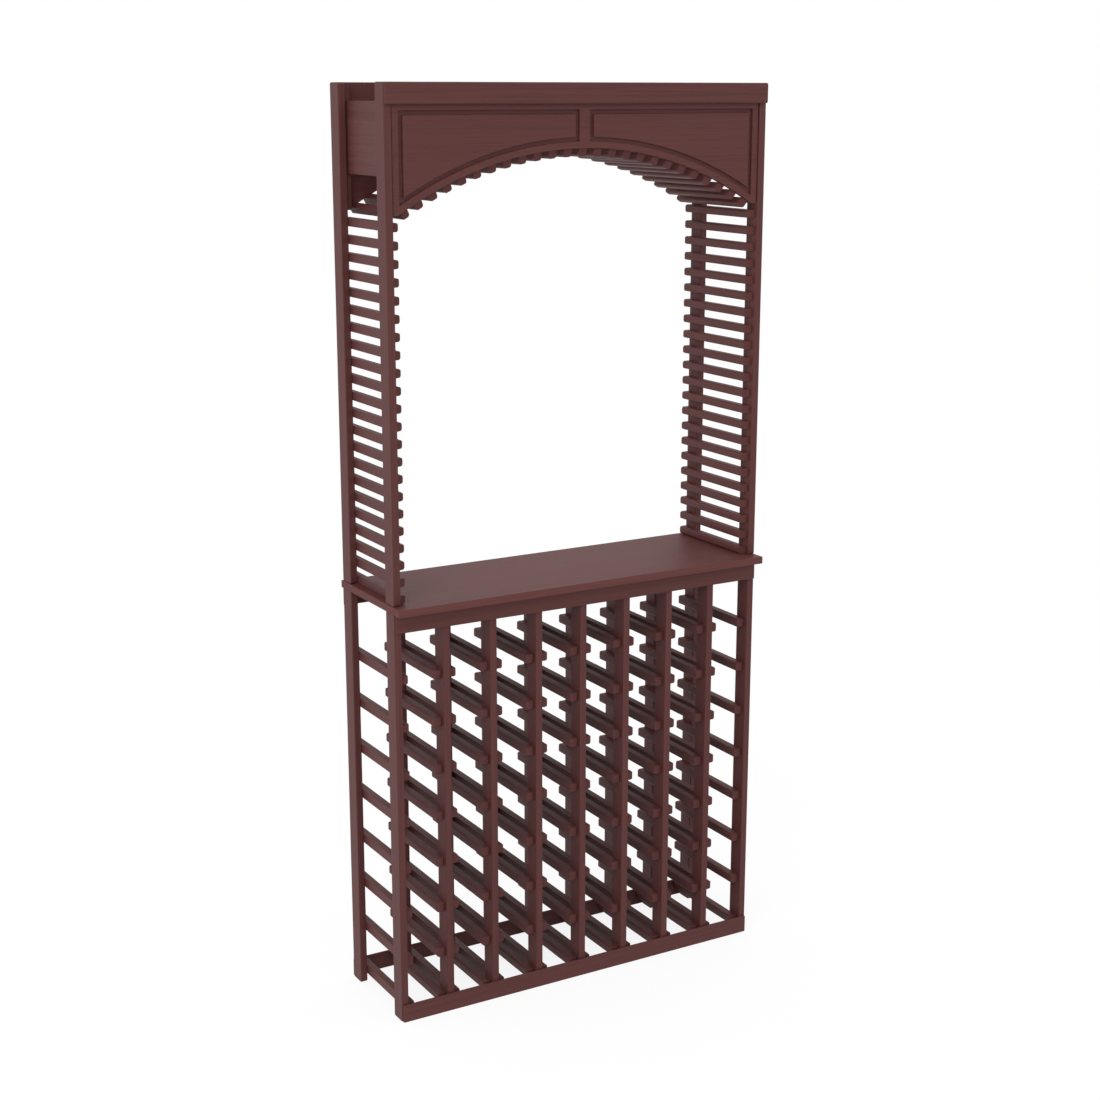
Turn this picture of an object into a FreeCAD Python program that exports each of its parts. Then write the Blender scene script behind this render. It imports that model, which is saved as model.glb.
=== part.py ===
"""Tasting table: a bottle rack with a counter, four posts, slatted sides and an arched canopy.

Lengths are in millimetres. X runs along the front from left to right, Y from front to back and
Z up. The origin lies on the floor under the middle of the counter.
"""
import FreeCAD
import Part
import Sketcher
import math
import os

SIZES = {
    # Bottle rack: ladders of two uprights with short rails between them.
    "columns": 8,
    "column_pitch": 110.0,
    "frame_depth": 250.0,
    "upright_height": 903.0,
    "upright_thickness": 16.0,
    "upright_depth": 39.0,
    "upright_round": 1.8,
    "upright_end_round": 4.5,
    "rail_width": 18.0,
    "rail_height": 20.0,
    "rail_round": 4.0,
    "rail_pitch": 104.2,
    "rail_rise": 19.0,
    "rail_setback": 10.0,
    "rail_end_chamfer": 1.8,
    # Long strips that tie the ladders together.
    "strip_height": 40.0,
    "strip_thickness": 6.0,
    "strip_round": 2.5,
    "strip_inset": 1.5,
    # Counter.
    "table_thickness": 16.0,
    "table_front_overhang": 30.0,
    "table_back_overhang": 6.0,
    "table_side_overhang": 2.0,
    "table_round": 1.5,
    # Posts, and the slats of the sides and of the arch.
    "post_height": 1029.0,
    "slat_width": 17.5,
    "slat_thickness": 17.0,
    "slat_round": 5.0,
    "slat_pitch": 35.5,
    "slat_setback": 10.0,
    "slat_end_chamfer": 0.5,
    "slat_bevel": 5.5,
    "slat_foot_gap": 1.0,
    "arch_slat_gap": 0.1,
    # Arched canopy, which stands clear of the posts and is held by cleats in its corners.
    "canopy_gap": 1.8,
    "arch_radius": 782.0,
    "arch_drop": 129.0,
    "arch_foot": 11.2,
    "fascia_height": 42.0,
    "fascia_thickness": 8.0,
    "fascia_round": 3.8,
    "valance_setback": 3.5,
    "valance_core": 5.0,
    "valance_border": 11.0,
    "valance_field": 11.5,
    "arch_border": 13.2,
    "side_border": 14.0,
    "mullion_width": 24.4,
    "groove_drop": 53.0,
    "groove_width": 9.2,
    "groove_chamfer": 0.6,
    "field_chamfer": 0.6,
    "side_panel_height": 143.0,
    "side_panel_thickness": 8.0,
    "side_panel_drop": 36.0,
    "side_panel_inset": 4.0,
    "side_panel_round": 1.5,
    "cleat_thickness": 12.0,
    "cleat_depth": 17.5,
    "cleat_round": 1.5,
    # Dowels that pin the posts through the counter to the end uprights.
    "dowel_diameter": 8.0,
    "dowel_depth": 25.0,
    "dowel_fit": 0.1,
    "dowel_chamfer": 0.8,
    # Flat that is always left between the two roundings of a thin piece.
    "least_flat": 0.2,
}

LAYOUT = {
    "overall_width": "Sizes.columns * Sizes.column_pitch + Sizes.upright_thickness",
    "half_width": "overall_width / 2",
    "inner_half": "half_width - Sizes.upright_thickness",
    "table_width": "overall_width + 2 * Sizes.table_side_overhang",
    "table_depth": "Sizes.table_front_overhang + Sizes.frame_depth + Sizes.table_back_overhang",
    "front_line": "Sizes.table_front_overhang - table_depth / 2",
    "back_line": "front_line + Sizes.frame_depth",
    "back_upright_front": "back_line - Sizes.upright_depth",
    "strip_edge": "min(Sizes.strip_round; (Sizes.strip_thickness - Sizes.least_flat) / 2)",
    "strip_length": "overall_width - 2 * Sizes.strip_inset",
    "rail_length": "Sizes.frame_depth - Sizes.rail_setback",
    "rail_room": "Sizes.upright_height - Sizes.strip_height - Sizes.rail_rise - Sizes.rail_height",
    "rail_rows": "floor(rail_room / Sizes.rail_pitch) + 1",
    "slat_edge": "min(Sizes.slat_round; (Sizes.slat_width - Sizes.least_flat) / 2)",
    "slat_length": "Sizes.frame_depth - Sizes.slat_setback",
    "table_top": "Sizes.upright_height + Sizes.table_thickness",
    "total_height": "table_top + Sizes.post_height",
    "canopy_rise": "Sizes.arch_drop + Sizes.arch_radius",
    "arch_centre": "total_height - canopy_rise",
    "canopy_half": "inner_half - Sizes.canopy_gap",
    "arch_span": "canopy_half - Sizes.arch_foot",
    "spring_rise": "sqrt(Sizes.arch_radius ^ 2 - arch_span ^ 2)",
    "spring_height": "arch_centre + spring_rise",
    "side_slat_rise": "table_top + Sizes.slat_foot_gap",
    "side_slat_room": "spring_height - side_slat_rise - Sizes.slat_width",
    "side_slat_count": "floor(side_slat_room / Sizes.slat_pitch) + 1",
    "arch_slat_back": "Sizes.arch_radius - Sizes.arch_slat_gap",
    "arch_step": "Sizes.slat_pitch / Sizes.arch_radius * 180 / pi",
    "arch_reach": "inner_half - Sizes.slat_thickness - Sizes.slat_width / 2",
    "arch_half_count": "floor(asin(arch_reach / Sizes.arch_radius) / 1 deg / arch_step)",
    "arch_half_angle": "arch_half_count * arch_step",
    "fascia_edge": "min(Sizes.fascia_round; (Sizes.fascia_thickness - Sizes.least_flat) / 2)",
    "panel_half": "inner_half - Sizes.side_panel_inset",
    "valance_back": "Sizes.valance_setback + Sizes.valance_border",
    "cleat_end": "valance_back + Sizes.cleat_depth",
    "cleat_height": "total_height - spring_height",
    "groove_top": "canopy_rise - Sizes.groove_drop",
    "groove_outside": "canopy_half - Sizes.side_border",
    "groove_inside": "Sizes.mullion_width / 2",
    "groove_radius": "Sizes.arch_radius + Sizes.arch_border",
    "dowel_length": "2 * Sizes.dowel_depth + Sizes.table_thickness",
    "dowel_hole": "Sizes.dowel_diameter + 2 * Sizes.dowel_fit",
    "dowel_across": "half_width - Sizes.upright_thickness / 2",
}

NOTHING = "0"
HALF_TURN = math.degrees(math.pi)
ORIGIN_POINT = (-1, 1)
NEAR = 1e-4

doc = FreeCAD.newDocument("tasting_table")
pieces = []


def fill_sheet(name, cells, lead):
    """Adds a sheet with one named cell a row; lead is written before every value."""
    sheet = doc.addObject("Spreadsheet::Sheet", name)
    for row, (alias, value) in enumerate(cells.items(), start=1):
        sheet.set(f"A{row}", alias)
        sheet.set(f"B{row}", f"{lead}{value}")
        sheet.setAlias(f"B{row}", alias)
    doc.recompute()
    return sheet


sizes = fill_sheet("Sizes", SIZES, "")
layout = fill_sheet("Layout", LAYOUT, "=")


def worth(formula):
    """Returns the present value of a formula."""
    return float(sizes.evalExpression(formula))


def new_body(label, place, turn=0.0):
    """Adds a body at a place given by three formulas, turned about the upright axis."""
    body = doc.addObject("PartDesign::Body", label)
    body.Label = label
    body.AllowCompound = True
    body.Placement.Rotation = FreeCAD.Rotation(FreeCAD.Vector(0, 0, 1), turn)
    for axis, formula in zip("xyz", place):
        body.setExpression(f"Placement.Base.{axis}", formula)
    pieces.append(body)
    return body


def origin_feature(body, role):
    """Finds an origin plane or axis of a body by its role."""
    return next(item for item in body.Origin.OriginFeatures if item.Role == role)


def new_sketch(body, name, role, offset=NOTHING):
    """Adds a sketch on an origin plane, moved along the plane's normal by a formula."""
    sketch = body.newObject("Sketcher::SketchObject", f"{body.Name}_{name}")
    sketch.AttachmentSupport = (origin_feature(body, role), [""])
    sketch.MapMode = "FlatFace"
    if offset != NOTHING:
        sketch.setExpression("AttachmentOffset.Base.z", offset)
    return sketch


def point(across, up):
    """Returns a point in a sketch plane."""
    return FreeCAD.Vector(across, up, 0)


def bind(sketch, kind, places, formula):
    """Adds a measured constraint and ties it to a formula."""
    index = sketch.addConstraint(Sketcher.Constraint(kind, *places, worth(formula)))
    sketch.setExpression(f"Constraints[{index}]", formula)


def bind_across(sketch, place, side, formula):
    """Keeps a point at a formula to the right (side 1) or to the left (side -1) of the origin."""
    if formula == NOTHING:
        sketch.addConstraint(Sketcher.Constraint("Vertical", *ORIGIN_POINT, *place))
    elif side > 0:
        bind(sketch, "DistanceX", (*ORIGIN_POINT, *place), formula)
    else:
        bind(sketch, "DistanceX", (*place, *ORIGIN_POINT), formula)


def bind_up(sketch, place, formula):
    """Keeps a point at a formula above the origin."""
    if formula == NOTHING:
        sketch.addConstraint(Sketcher.Constraint("Horizontal", *ORIGIN_POINT, *place))
    else:
        bind(sketch, "DistanceY", (*ORIGIN_POINT, *place), formula)


def add_line(sketch, start, end, direction):
    """Draws a side and keeps it Horizontal or Vertical."""
    line = sketch.addGeometry(Part.LineSegment(start, end), False)
    sketch.addConstraint(Sketcher.Constraint(direction, line))
    return line


def close_loop(sketch, sides):
    """Joins each side's end to the start of the next one."""
    for side, following in zip(sides, sides[1:] + sides[:1]):
        sketch.addConstraint(Sketcher.Constraint("Coincident", side, 2, following, 1))


def rectangle(sketch, wide, high, left=NOTHING, rise=NOTHING):
    """Draws a rectangle; its low corner lies left of the sketch origin and above it by formulas."""
    start = point(-worth(left), worth(rise))
    end = start + point(worth(wide), worth(high))
    bottom = add_line(sketch, start, point(end.x, start.y), "Horizontal")
    right = add_line(sketch, point(end.x, start.y), end, "Vertical")
    top = add_line(sketch, end, point(start.x, end.y), "Horizontal")
    close = add_line(sketch, point(start.x, end.y), start, "Vertical")
    close_loop(sketch, [bottom, right, top, close])
    bind_across(sketch, (bottom, 1), -1, left)
    bind_up(sketch, (bottom, 1), rise)
    bind(sketch, "DistanceX", (bottom, 1, bottom, 2), wide)
    bind(sketch, "DistanceY", (right, 1, right, 2), high)


def circle(sketch, side, across, up, diameter):
    """Draws a circle with its centre to one side of the sketch origin and above it."""
    centre = point(side * worth(across), worth(up))
    radius = worth(diameter) / 2
    ring = sketch.addGeometry(Part.Circle(centre, FreeCAD.Vector(0, 0, 1), radius), False)
    bind(sketch, "Diameter", (ring,), diameter)
    bind_across(sketch, (ring, 3), side, across)
    bind_up(sketch, (ring, 3), up)


def arched_loop(sketch, left, right, top, radius):
    """Draws a loop with two upright sides, a flat top and an arc below, centred on the origin.

    Left and right are pairs of a side (-1 or 1) and a formula for the distance to that side.
    """
    reach = worth(radius)
    left_at = left[0] * worth(left[1])
    right_at = right[0] * worth(right[1])
    left_foot = point(left_at, math.sqrt(reach ** 2 - left_at ** 2))
    right_foot = point(right_at, math.sqrt(reach ** 2 - right_at ** 2))
    left_head = point(left_at, worth(top))
    right_head = point(right_at, worth(top))
    ring = Part.Circle(point(0, 0), FreeCAD.Vector(0, 0, 1), reach)
    turns = (math.acos(right_at / reach), math.acos(left_at / reach))
    arc = sketch.addGeometry(Part.ArcOfCircle(ring, *turns), False)
    left_side = add_line(sketch, left_foot, left_head, "Vertical")
    top_side = add_line(sketch, left_head, right_head, "Horizontal")
    right_side = add_line(sketch, right_head, right_foot, "Vertical")
    close_loop(sketch, [arc, left_side, top_side, right_side])
    sketch.addConstraint(Sketcher.Constraint("Coincident", arc, 3, *ORIGIN_POINT))
    bind(sketch, "Radius", (arc,), radius)
    bind_across(sketch, (left_side, 2), *left)
    bind_across(sketch, (right_side, 1), *right)
    bind_up(sketch, (top_side, 1), top)


def footed_loop(sketch):
    """Draws a valance's outline: a board with an arc below that ends in two flat feet."""
    reach = worth("Sizes.arch_radius")
    span, foot = worth("Layout.arch_span"), worth("Layout.spring_rise")
    half, top = worth("Layout.canopy_half"), worth("Layout.canopy_rise")
    ring = Part.Circle(point(0, 0), FreeCAD.Vector(0, 0, 1), reach)
    turns = (math.acos(span / reach), math.acos(-span / reach))
    arc = sketch.addGeometry(Part.ArcOfCircle(ring, *turns), False)
    left_foot = add_line(sketch, point(-span, foot), point(-half, foot), "Horizontal")
    left_side = add_line(sketch, point(-half, foot), point(-half, top), "Vertical")
    top_side = add_line(sketch, point(-half, top), point(half, top), "Horizontal")
    right_side = add_line(sketch, point(half, top), point(half, foot), "Vertical")
    right_foot = add_line(sketch, point(half, foot), point(span, foot), "Horizontal")
    close_loop(sketch, [arc, left_foot, left_side, top_side, right_side, right_foot])
    sketch.addConstraint(Sketcher.Constraint("Coincident", arc, 3, *ORIGIN_POINT))
    bind(sketch, "Radius", (arc,), "Sizes.arch_radius")
    bind_across(sketch, (left_foot, 1), -1, "Layout.arch_span")
    bind_across(sketch, (right_foot, 2), 1, "Layout.arch_span")
    bind_across(sketch, (left_side, 2), -1, "Layout.canopy_half")
    bind_across(sketch, (right_side, 1), 1, "Layout.canopy_half")
    bind_up(sketch, (top_side, 1), "Layout.canopy_rise")


def pad(body, sketch, length, backwards=False):
    """Extrudes a sketch by a formula."""
    feature = body.newObject("PartDesign::Pad", f"{sketch.Name}_pad")
    feature.Profile = sketch
    feature.Reversed = backwards
    feature.setExpression("Length", length)
    sketch.Visibility = False
    doc.recompute()
    return feature


def pocket(body, sketch, depth, upwards=False):
    """Cuts a sketch out of a body by a formula and makes sure that something is cut."""
    before = body.Shape.Volume
    feature = body.newObject("PartDesign::Pocket", f"{sketch.Name}_pocket")
    feature.Profile = sketch
    feature.Reversed = upwards
    feature.setExpression("Length", depth)
    sketch.Visibility = False
    doc.recompute()
    if body.Shape.Volume > before - NEAR:
        raise RuntimeError(f"{sketch.Name} cuts nothing")


def soften(body, base, kind, amount, chosen=None):
    """Rounds or chamfers the chosen edges of a feature by a formula, or all its edges."""
    edges = enumerate(base.Shape.Edges, start=1)
    names = [f"Edge{i}" for i, edge in edges if chosen and chosen(edge)]
    feature = body.newObject(f"PartDesign::{kind}", f"{body.Name}_{base.Name}_{kind}")
    feature.Base = (base, names or ["Edge1"])
    feature.UseAllEdges = chosen is None
    feature.setExpression("Radius" if kind == "Fillet" else "Size", amount)
    doc.recompute()
    return feature


def board(label, place, wide, deep, high, rounding):
    """Makes a straight board with rounded edges, placed by its low front left corner."""
    body = new_body(label, place)
    sketch = new_sketch(body, "outline", "XY_Plane")
    rectangle(sketch, wide, deep)
    block = pad(body, sketch, high)
    soften(body, block, "Fillet", rounding)
    return body


def repeat(body, kind, count, role, extent_name, extent):
    """Repeats a whole body along or about one of its origin axes."""
    feature = body.newObject(f"PartDesign::{kind}", f"{body.Name}_repeat")
    feature.TransformMode = "Whole shape"
    axis = (origin_feature(body, role), [""])
    if kind == "LinearPattern":
        feature.Direction = axis
    else:
        feature.Axis = axis
    feature.setExpression("Occurrences", count)
    feature.setExpression(extent_name, extent)
    body.Tip = feature
    doc.recompute()


def soften_bar(body, block, softness, on_show_side):
    """Rounds a bar's two long edges on its show side, and then chamfers both its ends."""
    long_round, end_chamfer = softness

    def is_show_edge(edge):
        """Tells the long edges of the show side from the rest."""
        start, end = (vertex.Point for vertex in edge.Vertexes)
        return abs(start.y - end.y) > NEAR and on_show_side(start)

    def is_end_edge(edge):
        """Tells the edges that lie across the bar from the long ones."""
        start, end = (vertex.Point for vertex in edge.Vertexes)
        return abs(start.y - end.y) < NEAR

    bar = soften(body, block, "Fillet", long_round, is_show_edge)
    soften(body, bar, "Chamfer", end_chamfer, is_end_edge)


def bar(body, section, length, softness, left=NOTHING, low=NOTHING):
    """Makes a bar from front to back, with its show side to the right."""
    wide, high = section
    sketch = new_sketch(body, "section", "XZ_Plane")
    sketch.setExpression("AttachmentOffset.Base.y", low)
    rectangle(sketch, wide, high, left)
    block = pad(body, sketch, length, backwards=True)
    shown = worth(wide) - worth(left)
    soften_bar(body, block, softness, lambda spot: abs(spot.x - shown) < NEAR)


def bevel(body, section, end, inwards, left=NOTHING, low=NOTHING):
    """Cuts one end of a slat at a slope, so that its show side is the shorter one.

    The end lies along the slat at a formula, and inwards is 1 or -1, the way from it into the slat.
    """
    wide, high = section
    sketch = new_sketch(body, "bevel", "XY_Plane", low)
    start = point(-worth(left), worth(end))
    corner = start + point(worth(wide), 0)
    tip = corner + point(0, inwards * worth("Sizes.slat_bevel"))
    front = add_line(sketch, start, corner, "Horizontal")
    side = add_line(sketch, corner, tip, "Vertical")
    slope = sketch.addGeometry(Part.LineSegment(tip, start), False)
    close_loop(sketch, [front, side, slope])
    bind_across(sketch, (front, 1), -1, left)
    bind_up(sketch, (front, 1), end)
    bind(sketch, "DistanceX", (front, 1, front, 2), wide)
    rise = (side, 1, side, 2) if inwards > 0 else (side, 2, side, 1)
    bind(sketch, "DistanceY", rise, "Sizes.slat_bevel")
    pocket(body, sketch, high, upwards=True)


def bar_rows(label, place, turn, section, length, softness, count, pitch, bevelled=None):
    """Makes a stack of bars whose show side is the one away from the upright or post."""
    body = new_body(label, place, turn)
    bar(body, section, length, softness)
    if bevelled:
        bevel(body, section, *bevelled)
    repeat(body, "LinearPattern", count, "Z_Axis", "Length", f"({count} - 1) * {pitch}")


def drill_end(body, name, offset, upwards):
    """Drills a dowel hole along the middle of an upright or a post, from one of its ends."""
    sketch = new_sketch(body, name, "XY_Plane", offset)
    circle(sketch, 1, "Sizes.upright_thickness / 2", "Sizes.upright_depth / 2", "Layout.dowel_hole")
    pocket(body, sketch, "Sizes.dowel_depth + Sizes.dowel_fit", upwards)


def stick(label, place, high):
    """Makes an upright or a post, whose wide faces have round corners."""
    body = new_body(label, place)
    sketch = new_sketch(body, "outline", "XY_Plane")
    rectangle(sketch, "Sizes.upright_thickness", "Sizes.upright_depth")
    block = pad(body, sketch, high)

    def is_across(edge):
        """Tells the edges that lie across the stick's thickness from the rest."""
        start, end = (vertex.Point for vertex in edge.Vertexes)
        return abs(start.x - end.x) > NEAR

    def is_outline(edge):
        """Tells the outlines of the two wide faces from the rest."""
        return not is_across(edge)

    rounded = soften(body, block, "Fillet", "Sizes.upright_end_round", is_across)
    soften(body, rounded, "Fillet", "Sizes.upright_round", is_outline)
    return body


def build_uprights():
    """Makes the front and back uprights; the four end ones are drilled for dowels."""
    rows = {"front": "Layout.front_line", "back": "Layout.back_upright_front"}
    last = int(worth("Sizes.columns"))
    for i in range(last + 1):
        across = f"-Layout.half_width + {i} * Sizes.column_pitch"
        for row, along in rows.items():
            body = stick(f"{row}_upright_{i + 1}", (across, along, NOTHING), "Sizes.upright_height")
            if i in (0, last):
                drill_end(body, "hole", "Sizes.upright_height", upwards=False)


def build_rails():
    """Makes the bottle rails: one stack on each side of every column."""
    section = ("Sizes.rail_width", "Sizes.rail_height")
    softness = ("Sizes.rail_round", "Sizes.rail_end_chamfer")
    start = "Layout.front_line + Sizes.rail_setback"
    shared = (section, "Layout.rail_length", softness, "Layout.rail_rows", "Sizes.rail_pitch")
    for i in range(int(worth("Sizes.columns"))):
        left = f"-Layout.half_width + {i} * Sizes.column_pitch + Sizes.upright_thickness"
        right = f"-Layout.half_width + {i + 1} * Sizes.column_pitch"
        left_place = (left, start, "Sizes.rail_rise")
        bar_rows(f"column_{i + 1}_left_rails", left_place, 0.0, *shared)
        right_place = (right, "Layout.back_line", "Sizes.rail_rise")
        bar_rows(f"column_{i + 1}_right_rails", right_place, HALF_TURN, *shared)


def build_strips():
    """Makes the four long strips in front of the ladders and behind them."""
    rows = {"front": "Layout.front_line - Sizes.strip_thickness", "back": "Layout.back_line"}
    levels = {"base": NOTHING, "top": "Sizes.upright_height - Sizes.strip_height"}
    section = ("Sizes.strip_thickness", "Sizes.strip_height", "Layout.strip_edge")
    for row, along in rows.items():
        for level, up in levels.items():
            place = ("-Layout.strip_length / 2", along, up)
            board(f"{row}_{level}_rail", place, "Layout.strip_length", *section)


def dowel_circles(sketch, diameter):
    """Draws the four dowel places, seen from the middle of the front line of the uprights."""
    for side in (-1, 1):
        for up in ("Sizes.upright_depth / 2", "Sizes.frame_depth - Sizes.upright_depth / 2"):
            circle(sketch, side, "Layout.dowel_across", up, diameter)


def build_table():
    """Makes the counter with its four dowel holes, and the dowels."""
    body = new_body("table_top", (NOTHING, "Layout.front_line", "Sizes.upright_height"))
    sketch = new_sketch(body, "outline", "XY_Plane")
    sketch.setExpression("AttachmentOffset.Base.y", "-Sizes.table_front_overhang")
    rectangle(sketch, "Layout.table_width", "Layout.table_depth", left="Layout.table_width / 2")
    block = pad(body, sketch, "Sizes.table_thickness")
    soften(body, block, "Fillet", "Sizes.table_round")
    holes = new_sketch(body, "holes", "XY_Plane")
    dowel_circles(holes, "Layout.dowel_hole")
    pocket(body, holes, "Sizes.table_thickness", upwards=True)
    start = "Sizes.upright_height - Sizes.dowel_depth"
    dowels = new_body("post_dowels", (NOTHING, "Layout.front_line", start))
    rings = new_sketch(dowels, "rings", "XY_Plane")
    dowel_circles(rings, "Sizes.dowel_diameter")
    pins = pad(dowels, rings, "Layout.dowel_length")

    def is_rim(edge):
        """Tells the rims of the dowels from their seams."""
        return isinstance(edge.Curve, Part.Circle)

    soften(dowels, pins, "Chamfer", "Sizes.dowel_chamfer", is_rim)


def build_posts():
    """Makes the four posts on the counter, drilled from below."""
    sides = {"left": "-Layout.half_width", "right": "Layout.inner_half"}
    rows = {"front": "Layout.front_line", "back": "Layout.back_upright_front"}
    for side, across in sides.items():
        for row, along in rows.items():
            body = stick(f"{side}_{row}_post", (across, along, "Layout.table_top"), "Sizes.post_height")
            drill_end(body, "hole", NOTHING, upwards=True)


def build_slats():
    """Makes the side slats on the posts and the arch slats under the valances."""
    section = ("Sizes.slat_thickness", "Sizes.slat_width")
    softness = ("Layout.slat_edge", "Sizes.slat_end_chamfer")
    start = "Layout.front_line + Sizes.slat_setback"
    shared = (section, "Layout.slat_length", softness, "Layout.side_slat_count", "Sizes.slat_pitch")
    left_place = ("-Layout.inner_half", start, "Layout.side_slat_rise")
    bar_rows("left_side_slats", left_place, 0.0, *shared, (NOTHING, 1))
    right_place = ("Layout.inner_half", "Layout.back_line", "Layout.side_slat_rise")
    bar_rows("right_side_slats", right_place, HALF_TURN, *shared, ("Layout.slat_length", -1))

    body = new_body("arch_slats", (NOTHING, start, "Layout.arch_centre"))
    body.Placement.Rotation = FreeCAD.Rotation(FreeCAD.Vector(0, 1, 0), 1.0)
    body.setExpression("Placement.Rotation.Angle", "90 - Layout.arch_half_angle")
    spot = ("Layout.arch_slat_back", "-Sizes.slat_width / 2")
    bar(body, section, "Layout.slat_length", softness, *spot)
    bevel(body, section, NOTHING, 1, *spot)
    count = "2 * Layout.arch_half_count + 1"
    repeat(body, "PolarPattern", count, "Y_Axis", "Angle", "2 * Layout.arch_half_angle")


def field_loops(sketch, shrink):
    """Draws the two field outlines of a valance, drawn in from the groove's outside by a formula."""
    outside = f"Layout.groove_outside - {shrink}"
    inside = f"Layout.groove_inside + {shrink}"
    top = f"Layout.groove_top - {shrink}"
    radius = f"Layout.groove_radius + {shrink}"
    arched_loop(sketch, (-1, outside), (-1, inside), top, radius)
    arched_loop(sketch, (1, inside), (1, outside), top, radius)


def valance(label, along, turn):
    """Makes an arched board with a border and two fields, each with a groove about it."""
    body = new_body(label, (NOTHING, along, "Layout.arch_centre"), turn)
    core = new_sketch(body, "core", "XZ_Plane")
    footed_loop(core)
    pad(body, core, "Sizes.valance_core")
    border = new_sketch(body, "border", "XZ_Plane")
    footed_loop(border)
    field_loops(border, NOTHING)
    frame = pad(body, border, "Sizes.valance_border")
    face_at = -worth("Sizes.valance_border")
    sides, reach = worth("Layout.canopy_half"), worth("Sizes.arch_radius")
    levels = (worth("Layout.canopy_rise"), worth("Layout.spring_rise"))

    def is_groove_edge(edge):
        """Tells the front edges of the two openings from those of the outline."""
        middle = edge.valueAt((edge.FirstParameter + edge.LastParameter) / 2)
        ends = [vertex.Point for vertex in edge.Vertexes]
        flat = all(abs(end.y - face_at) < NEAR for end in ends)
        on_side = abs(abs(middle.x) - sides) < NEAR
        on_level = any(abs(middle.z - level) < NEAR for level in levels)
        on_arch = abs(math.hypot(middle.x, middle.z) - reach) < NEAR
        return flat and not (on_side or on_level or on_arch)

    soften(body, frame, "Chamfer", "Sizes.groove_chamfer", is_groove_edge)
    fields = new_sketch(body, "fields", "XZ_Plane")
    field_loops(fields, "Sizes.groove_width")
    raised = pad(body, fields, "Sizes.valance_field")
    front_at = -worth("Sizes.valance_field")

    def is_field_edge(edge):
        """Tells the front edges of the raised fields from the rest."""
        return all(abs(vertex.Point.y - front_at) < NEAR for vertex in edge.Vertexes)

    soften(body, raised, "Chamfer", "Sizes.field_chamfer", is_field_edge)


def build_canopy():
    """Makes the valances, the fascia, the side panels and the corner cleats."""
    valance("front_valance", "Layout.front_line + Layout.valance_back", 0.0)
    valance("back_valance", "Layout.back_line - Layout.valance_back", HALF_TURN)
    place = (
        "-Layout.half_width",
        "Layout.front_line - Sizes.fascia_thickness",
        "Layout.total_height - Sizes.fascia_height",
    )
    section = ("Sizes.fascia_thickness", "Sizes.fascia_height", "Layout.fascia_edge")
    board("front_fascia", place, "Layout.overall_width", *section)
    panel_sides = {"left": "-Layout.panel_half", "right": "Layout.panel_half - Sizes.side_panel_thickness"}
    panel_up = "Layout.total_height - Sizes.side_panel_drop - Sizes.side_panel_height"
    panel_deep = "Sizes.frame_depth - 2 * Layout.cleat_end"
    for side, across in panel_sides.items():
        place = (across, "Layout.front_line + Layout.cleat_end", panel_up)
        section = ("Sizes.side_panel_thickness", panel_deep, "Sizes.side_panel_height")
        board(f"{side}_side_panel", place, *section, "Sizes.side_panel_round")
    cleat_sides = {"left": "-Layout.inner_half", "right": "Layout.inner_half - Sizes.cleat_thickness"}
    cleat_rows = {
        "front": "Layout.front_line + Layout.valance_back",
        "back": "Layout.back_line - Layout.cleat_end",
    }
    block = ("Sizes.cleat_thickness", "Sizes.cleat_depth", "Layout.cleat_height", "Sizes.cleat_round")
    for side, across in cleat_sides.items():
        for row, along in cleat_rows.items():
            board(f"{side}_{row}_cleat", (across, along, "Layout.spring_height"), *block)


def check_and_write():
    """Checks every object and writes one file for each piece."""
    doc.recompute()
    for item in doc.Objects:
        if "Invalid" in item.State or "Error" in item.State:
            raise RuntimeError(f"{item.Name} is not built: {item.State}")
    os.makedirs("parts", exist_ok=True)
    for body in pieces:
        if body.Shape.isNull() or not body.Shape.isValid():
            raise RuntimeError(f"{body.Label} has no valid shape")
        body.Shape.exportStep(f"parts/{body.Label}.step")


build_uprights()
build_rails()
build_strips()
build_table()
build_posts()
build_slats()
build_canopy()
check_and_write()
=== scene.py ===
"""Looks of the tasting table: stained wood on every piece, a pale studio and the camera."""
import logging
import math
from dataclasses import dataclass, field
from enum import Enum
from typing import Dict, Optional, Sequence, Tuple, Union

import bpy
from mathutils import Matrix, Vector


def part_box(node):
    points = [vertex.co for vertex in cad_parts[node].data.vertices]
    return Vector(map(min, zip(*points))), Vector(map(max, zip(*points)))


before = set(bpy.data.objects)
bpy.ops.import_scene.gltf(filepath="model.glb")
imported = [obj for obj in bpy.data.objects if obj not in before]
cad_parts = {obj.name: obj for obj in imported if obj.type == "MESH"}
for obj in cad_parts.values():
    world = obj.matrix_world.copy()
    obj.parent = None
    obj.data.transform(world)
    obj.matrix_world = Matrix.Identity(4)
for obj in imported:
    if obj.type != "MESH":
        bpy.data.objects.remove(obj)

LOG = logging.getLogger("tasting_table")
# The middle of the range of a noise or a random number.
MIDDLE = 0.5
# A distance that reaches past every side of the object, in metres.
FAR = 4.0
WHITE = (1.0, 1.0, 1.0)
OPAQUE = 1.0
# Places of the sockets that a Mix node uses for colours.
MIX_FACTOR = 0
MIX_FIRST = 6
MIX_SECOND = 7
MIX_RESULT = 2
SIDES = ("left", "right")
ROWS = ("front", "back")

Color = Tuple[float, float, float]
Triple = Tuple[float, float, float]
Operand = Union[float, Triple, "Value"]


class Axis(Enum):
    """The way the grain runs in a piece."""

    ALONG_FRONT = 0
    FRONT_TO_BACK = 1
    UPRIGHT = 2


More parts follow.
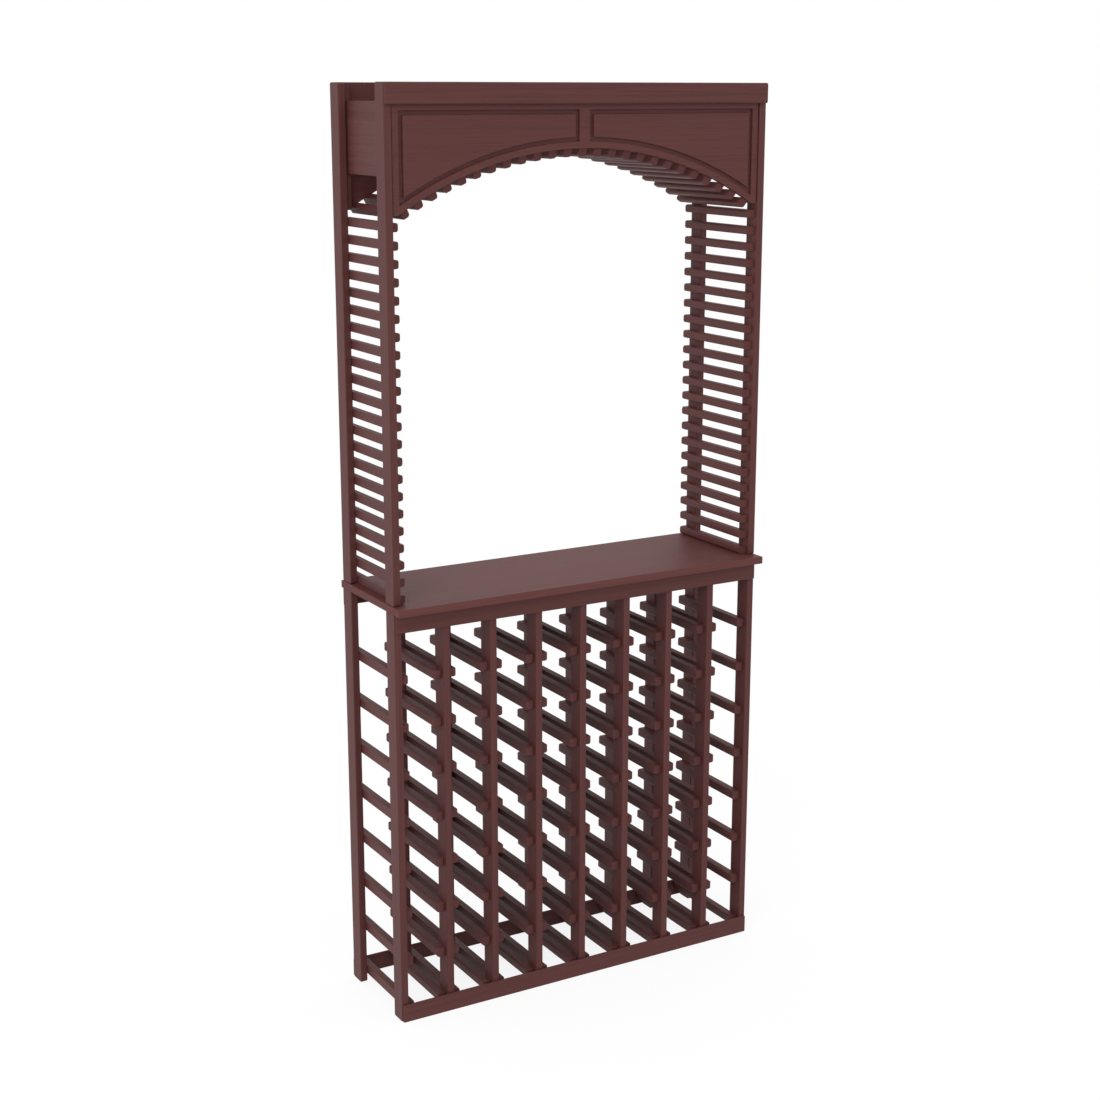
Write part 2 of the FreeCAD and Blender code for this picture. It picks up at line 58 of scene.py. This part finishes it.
class Value:
    """A socket of a material that takes part in Python expressions."""

    def __init__(self, graph: "Graph", socket: bpy.types.NodeSocket) -> None:
        """Keeps the socket and the graph that it belongs to."""
        self.graph = graph
        self.socket = socket

    def __add__(self, other: Operand) -> "Value":
        """Returns the sum."""
        return self.graph.math("ADD", self, other)

    def __radd__(self, other: float) -> "Value":
        """Returns the sum, with the number first."""
        return self.graph.math("ADD", other, self)

    def __sub__(self, other: Operand) -> "Value":
        """Returns the difference."""
        return self.graph.math("SUBTRACT", self, other)

    def __rsub__(self, other: float) -> "Value":
        """Returns the difference, with the number first."""
        return self.graph.math("SUBTRACT", other, self)

    def __mul__(self, other: Operand) -> "Value":
        """Returns the product."""
        return self.graph.math("MULTIPLY", self, other)

    def __rmul__(self, other: float) -> "Value":
        """Returns the product, with the number first."""
        return self.graph.math("MULTIPLY", other, self)

    def floor(self) -> "Value":
        """Returns the whole number below."""
        return self.graph.math("FLOOR", self)

    def size(self) -> "Value":
        """Returns the value without its sign."""
        return self.graph.math("ABSOLUTE", self)

    def ease(self, low: float, high: float) -> "Value":
        """Returns a smooth step from 0 to 1.

        Args:
            low: The value where the step starts.
            high: The value where the step ends.

        Returns:
            The step as a value.
        """
        inputs = {"Value": self, "From Min": low, "From Max": high}
        node = self.graph.node("ShaderNodeMapRange", {"interpolation_type": "SMOOTHSTEP"}, inputs)
        return self.graph.out(node, "Result")


class Graph:
    """The node tree of one material or of the world."""

    def __init__(self, tree: bpy.types.NodeTree) -> None:
        """Empties the tree and keeps it."""
        self.tree = tree
        tree.nodes.clear()

    def node(
        self,
        kind: str,
        settings: Optional[Dict[str, object]] = None,
        inputs: Optional[Dict[Union[str, int], Operand]] = None,
    ) -> bpy.types.Node:
        """Adds a node.

        Args:
            kind: The node's type.
            settings: Properties of the node, which are set first.
            inputs: Numbers, colours, vectors or links for its sockets, by name or place.

        Returns:
            The new node.
        """
        node = self.tree.nodes.new(kind)
        for name, setting in (settings or {}).items():
            setattr(node, name, setting)
        for name, given in (inputs or {}).items():
            self.feed(node.inputs[name], given)
        return node

    def feed(self, socket: bpy.types.NodeSocket, given: Operand) -> None:
        """Sets a socket to a number, colour or vector, or links it.

        Args:
            socket: The socket of a node.
            given: What it is set to or linked with.
        """
        if isinstance(given, Value):
            self.tree.links.new(given.socket, socket)
        elif isinstance(given, tuple) and socket.type == "RGBA":
            socket.default_value = (*given, OPAQUE)
        else:
            socket.default_value = given

    def out(self, node: bpy.types.Node, name: Union[str, int]) -> Value:
        """Returns one output of a node as a value."""
        return Value(self, node.outputs[name])

    def math(self, operation: str, *operands: Operand) -> Value:
        """Adds a Math node and returns its result."""
        node = self.node("ShaderNodeMath", {"operation": operation}, dict(enumerate(operands)))
        return self.out(node, 0)

    def vector(self, operation: str, *operands: Operand) -> Value:
        """Adds a Vector Math node and returns its vector."""
        node = self.node("ShaderNodeVectorMath", {"operation": operation}, dict(enumerate(operands)))
        return self.out(node, "Vector")

    def scaled(self, place: Value, factor: float) -> Value:
        """Returns a vector times a number."""
        node = self.node("ShaderNodeVectorMath", {"operation": "SCALE"}, {0: place, "Scale": factor})
        return self.out(node, "Vector")

    def blend(self, factor: Operand, first: Operand, second: Operand) -> Value:
        """Mixes two colours.

        Args:
            factor: How much of the second colour shows.
            first: The first colour.
            second: The second colour.

        Returns:
            The mixed colour.
        """
        inputs = {MIX_FACTOR: factor, MIX_FIRST: first, MIX_SECOND: second}
        node = self.node("ShaderNodeMix", {"data_type": "RGBA"}, inputs)
        return self.out(node, MIX_RESULT)

    def noise(self, place: Value, detail: float, roughness: float) -> Value:
        """Adds a noise.

        Args:
            place: The place to read it at, which is already stretched.
            detail: How many finer noises are added to it.
            roughness: How strong those are.

        Returns:
            A value from 0 to 1, with its middle at MIDDLE.
        """
        inputs = {"Vector": place, "Scale": 1.0, "Detail": detail, "Roughness": roughness}
        return self.out(self.node("ShaderNodeTexNoise", {"noise_dimensions": "3D"}, inputs), "Fac")

    def parts(self, place: Value) -> Tuple[Value, Value, Value]:
        """Splits a vector into its three numbers."""
        node = self.node("ShaderNodeSeparateXYZ", None, {0: place})
        return self.out(node, 0), self.out(node, 1), self.out(node, 2)


@dataclass(frozen=True)
class BlockCells:
    """Boxes of space that each hold one piece, so that every piece gets grain of its own.

    Attributes:
        corner: A corner of one box, in metres.
        spacing: The size of a box, in metres.
    """

    corner: Triple
    spacing: Triple

    def index(self, graph: Graph, place: Value) -> Value:
        """Returns the box's number along each axis, as a vector."""
        moved = graph.vector("SUBTRACT", place, self.corner)
        return graph.vector("FLOOR", graph.vector("DIVIDE", moved, self.spacing))


QUARTERS = BlockCells((0.0, 0.0, -FAR), (FAR, FAR, 2 * FAR))


@dataclass(frozen=True)
class FanCells:
    """Wedges about an axis from front to back, each of which holds one slat of the arch.

    Attributes:
        centre_height: The height of the axis, in metres.
        step: The angle from one slat to the next, in radians.
    """

    centre_height: float
    step: float

    def index(self, graph: Graph, place: Value) -> Value:
        """Counts the wedges from the crown.

        Args:
            graph: The material's graph.
            place: The place in the arch.

        Returns:
            The wedge's number, as a vector.
        """
        across, _, up = graph.parts(place)
        turn = graph.math("ARCTAN2", across, up - self.centre_height)
        number = (turn * (1.0 / self.step) + MIDDLE).floor()
        return graph.out(graph.node("ShaderNodeCombineXYZ", None, {0: number}), 0)


@dataclass(frozen=True)
class Stain:
    """The colours that a stain takes in wood.

    Attributes:
        pore: The colour in the open pores.
        deep: The colour of the darkest grain.
        pale: The colour of the palest grain.
    """

    pore: Color
    deep: Color
    pale: Color


BURGUNDY = Stain(
    pore=(0.043, 0.012, 0.011),
    deep=(0.088, 0.027, 0.025),
    pale=(0.149, 0.050, 0.046),
)
# A paler copy of BURGUNDY for the counter board: painted light, standing in for the stronger light
# that falls on the counter from above.
COUNTER_BURGUNDY_PAINTED_LIGHT = Stain(
    pore=(0.048, 0.013, 0.012),
    deep=(0.102, 0.030, 0.028),
    pale=(0.170, 0.056, 0.051),
)
BARE_HARDWOOD = Stain(
    pore=(0.200, 0.120, 0.060),
    deep=(0.420, 0.280, 0.160),
    pale=(0.600, 0.430, 0.270),
)


@dataclass(frozen=True)
class Layer:
    """A noise that runs along the grain.

    Attributes:
        across: How often it changes in a metre across the grain.
        along: How often it changes in a metre along the grain.
        detail: How many finer noises are added to it.
        roughness: How strong those are.
        tone: How much it changes the colour.
        depth: How much it lowers the surface, as a share of the relief.
        matt: How much it roughens the coat.
        limits: Where a sharp mark starts to show and where it shows in full.
    """

    across: float
    along: float
    detail: float
    roughness: float
    tone: float
    depth: float = 0.0
    matt: float = 0.0
    limits: Optional[Tuple[float, float]] = None


BANDS = Layer(across=24.0, along=0.8, detail=2.0, roughness=0.5, tone=0.35)
FIBRES = Layer(
    across=330.0, along=4.0, detail=2.0, roughness=0.55,
    tone=1.0, depth=-1.0, matt=0.12,
)
LINES = Layer(
    across=95.0, along=1.3, detail=1.0, roughness=0.4,
    tone=0.36, depth=0.5, limits=(0.61, 0.72),
)
PORES = Layer(
    across=1100.0, along=40.0, detail=1.0, roughness=0.5,
    tone=0.16, depth=0.8, matt=0.10, limits=(0.60, 0.74),
)


@dataclass(frozen=True)
class StainedWood:
    """Wood under a stain and a satin clear coat.

    Attributes:
        name: The finish's name.
        grain: The way the grain runs.
        cells: The boxes or wedges that tell one piece from the next.
        stain: The colours.
        grain_strength: How strongly the fibres and lines show.
        gloss: How smooth the coat is, from 0 to 1.
        sheen_level: How strongly the coat mirrors.
        relief: The depth of the grain in the surface, in metres.
        relief_strength: How much of that depth shows.
        shift: How far the grain of one piece may lie from that of the next, in metres.
        piece_tone: How much the tone changes from piece to piece.
        end_tone: How much darker the end grain is.
        end_matt: How much rougher the end grain is.
        end_limits: How squarely a face cuts the grain where end grain starts and where it is full.
    """

    name: str
    grain: Axis
    cells: Union[BlockCells, FanCells]
    stain: Stain = BURGUNDY
    grain_strength: float = 1.0
    gloss: float = 0.45
    sheen_level: float = 0.25
    relief: float = 0.00012
    relief_strength: float = 0.35
    shift: float = 9.0
    piece_tone: float = 0.12
    end_tone: float = 0.06
    end_matt: float = 0.10
    end_limits: Tuple[float, float] = (0.6, 0.9)

    def layer(self, graph: Graph, place: Value, kind: Layer) -> Value:
        """Lays one noise along the grain.

        Args:
            graph: The material's graph.
            place: The place in the piece's own wood.
            kind: The noise.

        Returns:
            A value from 0 to 1.
        """
        scale = [kind.across, kind.across, kind.across]
        scale[self.grain.value] = kind.along
        stretched = graph.vector("MULTIPLY", place, tuple(scale))
        noise = graph.noise(stretched, kind.detail, kind.roughness)
        return noise.ease(*kind.limits) if kind.limits else noise

    def end_grain(self, graph: Graph, normal: Value) -> Value:
        """Returns 1 where a face cuts across the grain, and 0 along it."""
        facing = graph.parts(normal)[self.grain.value]
        return facing.size().ease(*self.end_limits)

    def material(self) -> bpy.types.Material:
        """Makes the finish's material.

        Returns:
            A material that reads the object's own coordinates.
        """
        material = bpy.data.materials.new(self.name)
        material.use_nodes = True
        graph = Graph(material.node_tree)
        coordinates = graph.node("ShaderNodeTexCoord")
        place = graph.out(coordinates, "Object")
        number = self.cells.index(graph, place)
        chance = graph.node(
            "ShaderNodeTexWhiteNoise", {"noise_dimensions": "3D"}, {"Vector": number}
        )
        tint = graph.out(chance, "Value")
        moved = graph.vector("ADD", place, graph.scaled(graph.out(chance, "Color"), self.shift))
        ends = self.end_grain(graph, graph.out(coordinates, "Normal"))

        bands = self.layer(graph, moved, BANDS)
        fibres = self.layer(graph, moved, FIBRES)
        lines = self.layer(graph, moved, LINES)
        pores = self.layer(graph, moved, PORES)

        fibre_tone = FIBRES.tone * self.grain_strength
        line_tone = LINES.tone * self.grain_strength
        tone = BANDS.tone * (bands - MIDDLE) + fibre_tone * (fibres - MIDDLE)
        tone = MIDDLE + tone + self.piece_tone * (tint - MIDDLE)
        color = graph.blend(tone, self.stain.deep, self.stain.pale)
        color = graph.blend(line_tone * lines, color, self.stain.deep)
        color = graph.blend(PORES.tone * pores, color, self.stain.pore)
        color = graph.blend(self.end_tone * ends, color, self.stain.deep)

        matt = FIBRES.matt * (fibres - MIDDLE) + PORES.matt * pores + self.end_matt * ends
        roughness = (1.0 - self.gloss) + matt
        sunk = FIBRES.depth * fibres + PORES.depth * pores + LINES.depth * lines
        relief = {
            "Strength": self.relief_strength,
            "Distance": self.relief,
            "Height": 1.0 - sunk,
        }
        bump = graph.node("ShaderNodeBump", None, relief)
        shader = graph.node(
            "ShaderNodeBsdfPrincipled",
            None,
            {
                "Base Color": color,
                "Roughness": roughness,
                "Normal": graph.out(bump, "Normal"),
                "Specular IOR Level": self.sheen_level,
            },
        )
        graph.node("ShaderNodeOutputMaterial", None, {"Surface": graph.out(shader, 0)})
        return material


def dress(nodes: Sequence[str], finish: StainedWood) -> None:
    """Gives CAD nodes a finish.

    Args:
        nodes: The names of the nodes.
        finish: The finish that all of them get.
    """
    material = finish.material()
    for name in nodes:
        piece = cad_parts[name]
        for slot in piece.material_slots:
            slot.material = material
        LOG.info("%s: %s", name, finish.name)


def middle_of(node: str) -> Triple:
    """Returns the middle of a CAD node's box."""
    low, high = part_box(node)
    return tuple((low + high) / 2)


@dataclass
class BottleRack:
    """Ladders of uprights and short rails, tied by long strips.

    Attributes:
        columns: How many columns of bays stand side by side.
        rail_pitch: The height from one rail to the next, in metres.
        rail_height: The height of a rail, in metres.
    """

    columns: int = 8
    rail_pitch: float = 0.1042
    rail_height: float = 0.020

    def column_pitch(self) -> float:
        """Returns the width from one upright to the next."""
        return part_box("front_upright_2")[0].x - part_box("front_upright_1")[0].x

    def dress(self) -> None:
        """Gives the uprights, rails and strips their finishes."""
        pitch = self.column_pitch()
        first = middle_of("front_upright_1")[0]
        ladders = range(1, self.columns + 2)
        uprights = [f"{row}_upright_{ladder}" for row in ROWS for ladder in ladders]
        upright_cells = BlockCells((first - pitch / 2, 0.0, -FAR), (pitch, FAR, 2 * FAR))
        dress(uprights, StainedWood("upright_wood", Axis.UPRIGHT, upright_cells))

        columns = range(1, self.columns + 1)
        rails = [f"column_{column}_{side}_rails" for column in columns for side in SIDES]
        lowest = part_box(rails[0])[0].z
        start = lowest + self.rail_height / 2 - self.rail_pitch / 2
        rail_cells = BlockCells((first, -FAR, start), (pitch / 2, 2 * FAR, self.rail_pitch))
        dress(rails, StainedWood("rail_wood", Axis.FRONT_TO_BACK, rail_cells))

        strips = [f"{row}_{level}_rail" for row in ROWS for level in ("base", "top")]
        half_way = middle_of("front_upright_1")[2]
        strip_cells = BlockCells((-FAR, 0.0, half_way), (2 * FAR, FAR, FAR))
        dress(strips, StainedWood("strip_wood", Axis.ALONG_FRONT, strip_cells))


@dataclass
class Counter:
    """The counter board and the dowels that go through it.

    Attributes:
        board: The board's node.
        pins: The dowels' node.
    """

    board: str = "table_top"
    pins: str = "post_dowels"

    def dress(self) -> None:
        """Gives the counter and the dowels their finishes."""
        whole = BlockCells((-FAR, -FAR, -FAR), (2 * FAR, 2 * FAR, 2 * FAR))
        # The counter takes the paler stain, which paints in extra light from above.
        finish = StainedWood("counter_wood", Axis.ALONG_FRONT, whole, stain=COUNTER_BURGUNDY_PAINTED_LIGHT)
        dress([self.board], finish)
        dress([self.pins], StainedWood("dowel_wood", Axis.UPRIGHT, QUARTERS, stain=BARE_HARDWOOD))


@dataclass
class Niche:
    """The posts, and the slats of the sides and of the arch.

    Attributes:
        slat_pitch: The distance from one slat to the next, in metres.
        slat_width: The width of a slat, in metres.
        arch_radius: The radius of the arch, in metres.
        arch_drop: How far the crown of the arch lies below the top, in metres.
    """

    slat_pitch: float = 0.0355
    slat_width: float = 0.0175
    arch_radius: float = 0.782
    arch_drop: float = 0.129

    def dress(self) -> None:
        """Gives the posts and slats their finishes."""
        posts = [f"{side}_{row}_post" for side in SIDES for row in ROWS]
        dress(posts, StainedWood("post_wood", Axis.UPRIGHT, QUARTERS))

        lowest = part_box("left_side_slats")[0].z
        start = lowest + self.slat_width / 2 - self.slat_pitch / 2
        rungs = BlockCells((0.0, -FAR, start), (FAR, 2 * FAR, self.slat_pitch))
        side_slats = [f"{side}_side_slats" for side in SIDES]
        dress(side_slats, StainedWood("side_slat_wood", Axis.FRONT_TO_BACK, rungs))

        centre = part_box(posts[0])[1].z - self.arch_drop - self.arch_radius
        fan = FanCells(centre, self.slat_pitch / self.arch_radius)
        dress(["arch_slats"], StainedWood("arch_slat_wood", Axis.FRONT_TO_BACK, fan))


@dataclass
class Canopy:
    """The arched boards, the fascia, the side panels and the cleats.

    Attributes:
        fascia: The fascia's node.
        fascia_grain: How strongly the fascia's grain shows.
        panel_grain: How strongly the grain of the side panels shows.
    """

    fascia: str = "front_fascia"
    fascia_grain: float = 1.5
    panel_grain: float = 2.0

    def dress(self) -> None:
        """Gives the boards of the canopy their finishes."""
        along, inwards = Axis.ALONG_FRONT, Axis.FRONT_TO_BACK
        halves = BlockCells((-FAR, 0.0, -FAR), (2 * FAR, FAR, 2 * FAR))
        valances = [f"{row}_valance" for row in ROWS]
        dress(valances, StainedWood("valance_wood", along, halves))
        fascia_finish = StainedWood("fascia_wood", along, halves, grain_strength=self.fascia_grain)
        dress([self.fascia], fascia_finish)

        sides = BlockCells((0.0, -FAR, -FAR), (FAR, 2 * FAR, 2 * FAR))
        panels = [f"{side}_side_panel" for side in SIDES]
        panel_finish = StainedWood("panel_wood", inwards, sides, grain_strength=self.panel_grain)
        dress(panels, panel_finish)
        cleats = [f"{side}_{row}_cleat" for side in SIDES for row in ROWS]
        dress(cleats, StainedWood("cleat_wood", Axis.UPRIGHT, QUARTERS))


@dataclass
class Lamp:
    """A soft square lamp that points at a place.

    Attributes:
        name: The lamp's name.
        position: Where it hangs, in metres.
        target: Where it points, in metres.
        width: The length of its side, in metres.
        power: Its power, in watts.
    """

    name: str
    position: Triple
    target: Triple
    width: float
    power: float

    def build(self) -> None:
        """Adds the lamp to the scene."""
        light = bpy.data.lights.new(self.name, "AREA")
        light.shape = "SQUARE"
        light.size = self.width
        light.energy = self.power
        lamp = bpy.data.objects.new(self.name, light)
        lamp.location = self.position
        way = Vector(self.target) - Vector(self.position)
        lamp.rotation_euler = way.to_track_quat("-Z", "Y").to_euler()
        bpy.context.scene.collection.objects.link(lamp)
        LOG.info("lamp %s", self.name)


@dataclass
class Studio:
    """A pale floor, an even sky, a soft lamp and the camera.

    Attributes:
        key: The lamp.
        sky: How bright the sky is on the object.
        floor_width: The width of the floor, in metres.
        floor_color: The floor's own colour.
        floor_white: How much of the floor shows as plain white to the camera.
        floor_glow: How bright that white is.
        lens: The focal length, in millimetres.
        sensor_width: The width of the sensor, in millimetres.
        camera_position: The camera's place, in metres.
        camera_tilt: How far the camera is turned up from looking straight down, in degrees.
        camera_turn: How far the camera is turned about the upright axis, in degrees.
    """

    key: Lamp = field(
        default_factory=lambda: Lamp(
            "key",
            position=(-4.6, -3.9, 5.0),
            target=(0.0, 0.0, 1.0),
            width=4.0,
            power=120.0,
        )
    )
    sky: float = 0.72
    floor_width: float = 60.0
    floor_color: Color = (0.82, 0.82, 0.82)
    floor_white: float = 0.8
    floor_glow: float = 1.1
    lens: float = 60.78
    sensor_width: float = 36.0
    camera_position: Triple = (-1.9885, -3.3928, 1.9267)
    camera_tilt: float = 76.181
    camera_turn: float = -30.147

    @staticmethod
    def seen_rays(graph: Graph) -> Value:
        """Tells the rays that show a surface from those that only light one.

        Args:
            graph: The graph of a material or of the world.

        Returns:
            1 for what the camera sees directly, in gloss or through clear things, and 0 otherwise.
        """
        path = graph.node("ShaderNodeLightPath")
        seen = graph.out(path, "Is Camera Ray")
        for name in ("Is Glossy Ray", "Is Transmission Ray"):
            seen = graph.math("MAXIMUM", seen, graph.out(path, name))
        return seen

    def build_sky(self) -> None:
        """Makes an even sky that shows as plain white."""
        world = bpy.data.worlds.new("studio_sky")
        world.use_nodes = True
        graph = Graph(world.node_tree)
        seen = self.seen_rays(graph)
        strength = self.sky + (1.0 - self.sky) * seen
        sky = graph.node("ShaderNodeBackground", None, {"Color": WHITE, "Strength": strength})
        graph.node("ShaderNodeOutputWorld", None, {"Surface": graph.out(sky, 0)})
        bpy.context.scene.world = world

    def build_floor(self) -> None:
        """Lays the floor, which keeps the object's soft shadow."""
        bpy.ops.object.select_all(action="DESELECT")
        bpy.ops.mesh.primitive_plane_add(size=self.floor_width)
        floor = bpy.context.object
        floor.name = "studio_floor"
        material = bpy.data.materials.new("pale_floor")
        material.use_nodes = True
        graph = Graph(material.node_tree)
        matt = graph.node("ShaderNodeBsdfDiffuse", None, {"Color": self.floor_color})
        light = {"Color": WHITE, "Strength": self.floor_glow}
        glow = graph.node("ShaderNodeEmission", None, light)
        share = self.floor_white * self.seen_rays(graph)
        layers = {0: share, 1: graph.out(matt, 0), 2: graph.out(glow, 0)}
        both = graph.node("ShaderNodeMixShader", None, layers)
        graph.node("ShaderNodeOutputMaterial", None, {"Surface": graph.out(both, 0)})
        floor.data.materials.append(material)
        LOG.info("floor")

    def build_camera(self) -> None:
        """Sets up the camera at the photograph's viewing angle."""
        lens = bpy.data.cameras.new("camera")
        lens.lens = self.lens
        lens.sensor_width = self.sensor_width
        camera = bpy.data.objects.new("camera", lens)
        camera.location = self.camera_position
        tilt, turn = math.radians(self.camera_tilt), math.radians(self.camera_turn)
        camera.rotation_euler = (tilt, 0.0, turn)
        bpy.context.scene.collection.objects.link(camera)
        bpy.context.scene.camera = camera

    def build(self) -> None:
        """Builds the whole studio."""
        self.build_sky()
        self.build_floor()
        self.key.build()
        self.build_camera()
        bpy.context.scene.view_settings.view_transform = "Standard"


def main() -> None:
    """Dresses the sub-assemblies in order and sets up the studio."""
    logging.basicConfig(level=logging.INFO, format="%(name)s: %(message)s")
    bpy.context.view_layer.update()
    for assembly in (BottleRack(), Counter(), Niche(), Canopy()):
        assembly.dress()
    Studio().build()


if __name__ == "__main__":
    main()
